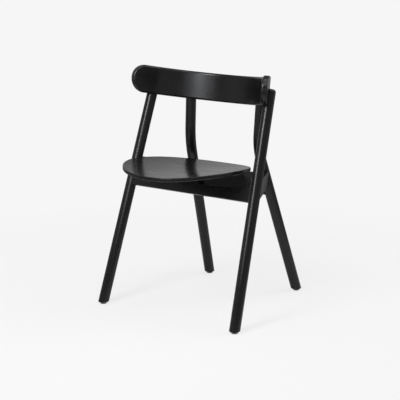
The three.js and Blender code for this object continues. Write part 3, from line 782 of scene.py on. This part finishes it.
class Shading:
    """The nodes of a material or a world, with a short call for each kind in use."""

    def __init__(self, owner, output):
        owner.use_nodes = True
        self.tree = owner.node_tree
        self.tree.nodes.clear()
        self.surface = self.new(output).inputs["Surface"]

    def new(self, kind):
        return self.tree.nodes.new(f"ShaderNode{kind}")

    def feed(self, socket, value):
        """A socket takes what another socket gives, or a fixed value."""
        if isinstance(value, bpy.types.NodeSocket):
            self.tree.links.new(value, socket)
        else:
            socket.default_value = value

    def place(self):
        return self.new("TexCoord").outputs["Object"]

    def grain(self):
        source = self.new("Attribute")
        source.attribute_name = "grain"
        return source.outputs["Vector"]

    def noise(self, vector, scale, detail):
        """Noise stretched by three scales."""
        mapping = self.new("Mapping")
        self.feed(mapping.inputs["Vector"], vector)
        self.feed(mapping.inputs["Scale"], scale)
        texture = self.new("TexNoise")
        self.feed(texture.inputs["Vector"], mapping.outputs["Vector"])
        self.feed(texture.inputs["Scale"], 1)
        self.feed(texture.inputs["Detail"], detail)
        return texture.outputs["Fac"]

    def spread(self, value, source, target=(0, 1)):
        """Stretches one range of values to another and stops at its ends."""
        remap = self.new("MapRange")
        self.feed(remap.inputs["Value"], value)
        for name, number in zip(("From Min", "From Max", "To Min", "To Max"), (*source, *target)):
            self.feed(remap.inputs[name], number)
        return remap.outputs["Result"]

    def product(self, first, second):
        multiply = self.new("Math")
        multiply.operation = "MULTIPLY"
        self.feed(multiply.inputs[0], first)
        self.feed(multiply.inputs[1], second)
        return multiply.outputs["Value"]

    def blend(self, factor, first, second):
        """The first colour at a factor of 0, the second at 1."""
        mix = self.new("Mix")
        mix.data_type = "RGBA"
        self.feed(mix.inputs["Factor"], factor)
        self.feed(mix.inputs[MIX_FIRST], first)
        self.feed(mix.inputs[MIX_SECOND], second)
        return mix.outputs[MIX_RESULT]

    def bump(self, height, strength, depth):
        bump = self.new("Bump")
        self.feed(bump.inputs["Strength"], strength)
        self.feed(bump.inputs["Distance"], depth)
        self.feed(bump.inputs["Height"], height)
        return bump.outputs["Normal"]

    def glow(self, strength):
        emission = self.new("Emission")
        self.feed(emission.inputs["Strength"], strength)
        return emission.outputs["Emission"]

    def diffuse(self, grey):
        diffuse = self.new("BsdfDiffuse")
        self.feed(diffuse.inputs["Color"], (grey, grey, grey, 1))
        return diffuse.outputs["BSDF"]

    def sky(self, strength):
        background = self.new("Background")
        self.feed(background.inputs["Color"], WHITE)
        self.feed(background.inputs["Strength"], strength)
        return background.outputs["Background"]

    def add(self, first, second):
        total = self.new("AddShader")
        self.feed(total.inputs[0], first)
        self.feed(total.inputs[1], second)
        return total.outputs["Shader"]

    def mix(self, factor, first, second):
        """The first shader at a factor of 0, the second at 1."""
        mix = self.new("MixShader")
        for socket, value in zip(mix.inputs, (factor, first, second)):
            self.feed(socket, value)
        return mix.outputs["Shader"]

    def show(self, light, seen):
        """Lights the chair with one shader, and shows the camera the other."""
        by_camera = self.new("LightPath").outputs["Is Camera Ray"]
        self.feed(self.surface, self.mix(by_camera, light, seen))


def new_material(name):
    material = bpy.data.materials.new(name)
    shading = Shading(material, "OutputMaterial")
    shader = shading.new("BsdfPrincipled")
    shading.feed(shading.surface, shader.outputs["BSDF"])
    return material, shading, shader


def wood(name, follows_grain, light, dark, pore, worn, roughness, pore_depth, ior=WOOD_IOR):
    """Straight-grained wood with open pores, rubbed a little along its edges."""
    material, shading, shader = new_material(name)
    vector = shading.grain() if follows_grain else shading.place()
    growth = shading.noise(vector, GROWTH_SCALE, RICH_DETAIL)
    pores = shading.noise(vector, PORE_SCALE, PLAIN_DETAIL)
    cloud = shading.noise(vector, CLOUD_SCALE, PLAIN_DETAIL)
    edge = shading.spread(shading.new("NewGeometry").outputs["Pointiness"], EDGE_RANGE)
    rubbed = shading.product(edge, shading.spread(cloud, RUB_RANGE, RUB_AMOUNT))
    body = shading.blend(shading.spread(growth, GROWTH_RANGE), light, dark)
    grained = shading.blend(shading.spread(pores, PORE_RANGE), body, pore)
    height = shading.spread(pores, PORE_HOLLOW_RANGE, (1, 0))
    shading.feed(shader.inputs["Base Color"], shading.blend(rubbed, grained, worn))
    shading.feed(shader.inputs["Roughness"], shading.spread(cloud, CLOUD_RANGE, roughness))
    shading.feed(shader.inputs["Normal"], shading.bump(height, PORE_STRENGTH, pore_depth))
    shader.inputs["IOR"].default_value = ior
    return material


def mottled(name, scale, first, second, roughness, metallic):
    """A plain material with faint clouds in its colour and its gloss."""
    material, shading, shader = new_material(name)
    cloud = shading.noise(shading.place(), (scale, scale, scale), RICH_DETAIL)
    shading.feed(shader.inputs["Base Color"], shading.blend(cloud, first, second))
    shading.feed(shader.inputs["Roughness"], shading.spread(cloud, CLOUD_RANGE, roughness))
    shader.inputs["Metallic"].default_value = metallic
    return material


stained = wood(
    "black_stained_wood",
    follows_grain=True,
    light=(0.0072, 0.0071, 0.0077, 1),
    dark=(0.0052, 0.0051, 0.0056, 1),
    pore=(0.0028, 0.0027, 0.0029, 1),
    worn=(0.020, 0.018, 0.017, 1),
    roughness=(0.20, 0.26),
    pore_depth=0.00004,
)
# Painted shade: a darker, duller copy of the stained wood for the rear rail, which lies in the seat's shade
shaded_dull_wood = wood(
    "shaded_matte_stained_wood",
    follows_grain=True,
    light=(0.0068, 0.0067, 0.0070, 1),
    dark=(0.0050, 0.0049, 0.0052, 1),
    pore=(0.0028, 0.0027, 0.0029, 1),
    worn=(0.014, 0.013, 0.012, 1),
    roughness=(0.48, 0.56),
    pore_depth=0.00006,
    ior=SHADED_DULL_IOR,
)
plain = wood(
    "plain_dowel_wood",
    follows_grain=False,
    light=(0.58, 0.41, 0.24, 1),
    dark=(0.48, 0.32, 0.17, 1),
    pore=(0.25, 0.15, 0.07, 1),
    worn=(0.50, 0.34, 0.19, 1),
    roughness=(0.60, 0.75),
    pore_depth=0.0001,
)
zinc = mottled(
    "zinc_plated_steel",
    scale=700,
    first=(0.52, 0.53, 0.55, 1),
    second=(0.42, 0.43, 0.44, 1),
    roughness=(0.28, 0.42),
    metallic=1,
)
plastic = mottled(
    "grey_glide_plastic",
    scale=180,
    first=(0.29, 0.29, 0.28, 1),
    second=(0.24, 0.24, 0.23, 1),
    roughness=(0.42, 0.58),
    metallic=0,
)

# Pieces

finish_piece(seat_shell(), stained, "stained_wood", "seat_shell")
finish_piece(band("backrest_bent_band"), stained, "stained_wood", "backrest")
finish_piece(front_rail(), stained, "stained_wood", "front_rail")
# The rear rail takes the darker, duller copy of the wood: painted shade under the seat
finish_piece(rear_rail(), shaded_dull_wood, "stained_wood", "rear_rail")

for word, side in SIDES:
    for end, stations, meet in (
        ("front", front_stations(side), front_meeting(side)),
        ("rear", rear_stations(side), rear_meeting(side)),
    ):
        node = f"{end}_leg_{word}"
        finish_piece(leg(f"{node}_turned", stations, meet), stained, "stained_wood", node)
        foot = axis_at(stations[0], GLIDE_HEIGHT)
        foot.z = 0
        node = f"glide_{end}_{word}"
        finish_piece(glide(f"{node}_cup", foot), plastic, "glide_plastic", node)
        if end == "front":
            node = f"back_plug_{word}"
            finish_piece(plug(f"{node}_fitted", meet[1]), stained, "stained_wood", node)
    node = f"side_rail_{word}"
    finish_piece(side_rail(f"{node}_planed", side), stained, "stained_wood", node)

for name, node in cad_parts.items():
    if "dowel" in name:
        node.data.materials[0] = plain
    elif "screw" in name or "nail" in name:
        node.data.materials[0] = zinc

# Stage: a pale floor, a dim sky with brighter patches, and soft lamps

# The camera sees an even, pale background. Near the chair the floor also has a grey that takes its shadow
BACKGROUND = 0.922
FLOOR_SIZE = 60
NEAR_CHAIR = (0.4, 1.5)
SHADOW_GREY = 0.20
SHADOW_GLOW = 0.755

# What the chair sees of the floor: a pale bounce from nearby, and a glow that grows towards the horizon
NEAR_BOUNCE = 0.75
FAR_BOUNCE = 0.25
HORIZON = (3, 8)
HORIZON_GLOW = (0.05, 0.50)

# What the chair sees of the sky. Each patch: its axis, the cosines at its faint rim and full middle, its glow
SKY_GLOW = 0.16
SKY_PATCHES = (
    ((-0.8, 0.6, 0.01), (0.80, 0.96), 0.31),
    ((-1, 0, 0), (0.4, 0.8), 0.14),
    ((0, 0, 1), (0.5, 0.8), 0.08),
    ((1, 0, 0), (0.4, 0.8), 0.09),
)

# Soft lamps face the middle of the chair
LAMP_TARGET = Vector((0, 0, 0.5))
LAMP_DISTANCE = 2.8
PLAIN_LIGHT = (1, 1, 1)

# Two low lamps draw the bright stripe on the backrest. In one plane they would hide one another
LOW_LAMPS = {"azimuth": 6, "elevation": 15.7, "colour": (0.93, 0.95, 1.0)}
LOW_DISTANCE = 1.66
LOW_MIDDLE_DISTANCE = 1.60


def pale_floor():
    half = FLOOR_SIZE / 2
    corners = [(-half, -half, 0), (half, -half, 0), (half, half, 0), (-half, half, 0)]
    floor = new_object("floor", corners, [(0, 1, 2, 3)])
    material = bpy.data.materials.new("pale_floor")
    shading = Shading(material, "OutputMaterial")
    length = shading.new("VectorMath")
    length.operation = "LENGTH"
    shading.feed(length.inputs[0], shading.place())
    distance = length.outputs["Value"]
    far = shading.spread(distance, NEAR_CHAIR)
    shaded = shading.add(shading.diffuse(SHADOW_GREY), shading.glow(SHADOW_GLOW))
    seen = shading.mix(far, shaded, shading.glow(BACKGROUND))
    bounce = shading.mix(far, shading.diffuse(NEAR_BOUNCE), shading.diffuse(FAR_BOUNCE))
    shading.show(shading.add(bounce, shading.glow(shading.spread(distance, HORIZON, HORIZON_GLOW))), seen)
    floor.data.materials.append(material)
    return floor


def studio_world():
    world = bpy.data.worlds.new("studio")
    shading = Shading(world, "OutputWorld")
    direction = shading.new("TexCoord").outputs["Generated"]
    light = shading.sky(SKY_GLOW)
    for axis, cosines, glow in SKY_PATCHES:
        nearness = shading.new("VectorMath")
        nearness.operation = "DOT_PRODUCT"
        shading.feed(nearness.inputs[0], direction)
        shading.feed(nearness.inputs[1], Vector(axis).normalized())
        patch = shading.spread(nearness.outputs["Value"], cosines, (0, glow))
        light = shading.add(light, shading.sky(patch))
    shading.show(light, shading.sky(BACKGROUND))
    return world


def lamp(name, azimuth, elevation, size, power, colour=PLAIN_LIGHT, distance=LAMP_DISTANCE):
    """A soft box that the camera doesn't see; its azimuth runs from the front to the right."""
    across, up = radians(azimuth), radians(elevation)
    way = Vector((sin(across) * cos(up), -cos(across) * cos(up), sin(up)))
    data = bpy.data.lights.new(name, "AREA")
    data.shape = "RECTANGLE"
    data.size, data.size_y = size
    data.energy = power
    data.color = colour
    obj = bpy.data.objects.new(name, data)
    obj.location = LAMP_TARGET + way * distance
    obj.rotation_euler = (-way).to_track_quat("-Z", "Y").to_euler()
    obj.visible_camera = False
    bpy.context.scene.collection.objects.link(obj)


pale_floor()

scene = bpy.context.scene
scene.view_settings.view_transform = "Standard"
scene.world = studio_world()

lamp("key", azimuth=-7, elevation=36.5, size=(0.8, 1.3), power=38)
lamp("low", size=(1.18, 0.28), power=1.4, distance=LOW_DISTANCE, **LOW_LAMPS)
lamp("low_middle", size=(0.38, 0.27), power=1.1, distance=LOW_MIDDLE_DISTANCE, **LOW_LAMPS)
lamp("left_glow", azimuth=-40, elevation=12, size=(1.2, 1.0), power=0.4)
lamp("front_top", azimuth=20, elevation=55, size=(1.6, 1.6), power=9.5)
lamp("top", azimuth=0, elevation=88, size=(1.0, 1.0), power=6)
lamp("right_top", azimuth=75, elevation=50, size=(1.6, 1.6), power=6.5)
lamp("behind_top", azimuth=130, elevation=45, size=(1.6, 1.6), power=17)
lamp("behind_right", azimuth=145, elevation=12, size=(1.2, 0.8), power=4)

# Camera at the photograph's viewing angle
CAMERA_PLACE = (2.2641, -3.2083, 1.2545)
CAMERA_AZIMUTH = radians(35.42)
CAMERA_DIP = radians(13.05)
FOCAL_PIXELS = 1241.8
IMAGE_PIXELS = 400
SENSOR_WIDTH = 36

camera = bpy.data.objects.new("camera", bpy.data.cameras.new("camera"))
camera.location = CAMERA_PLACE
camera.rotation_euler = (pi / 2 - CAMERA_DIP, 0, CAMERA_AZIMUTH)
camera.data.sensor_width = SENSOR_WIDTH
camera.data.lens = SENSOR_WIDTH * FOCAL_PIXELS / IMAGE_PIXELS
scene.collection.objects.link(camera)
scene.camera = camera
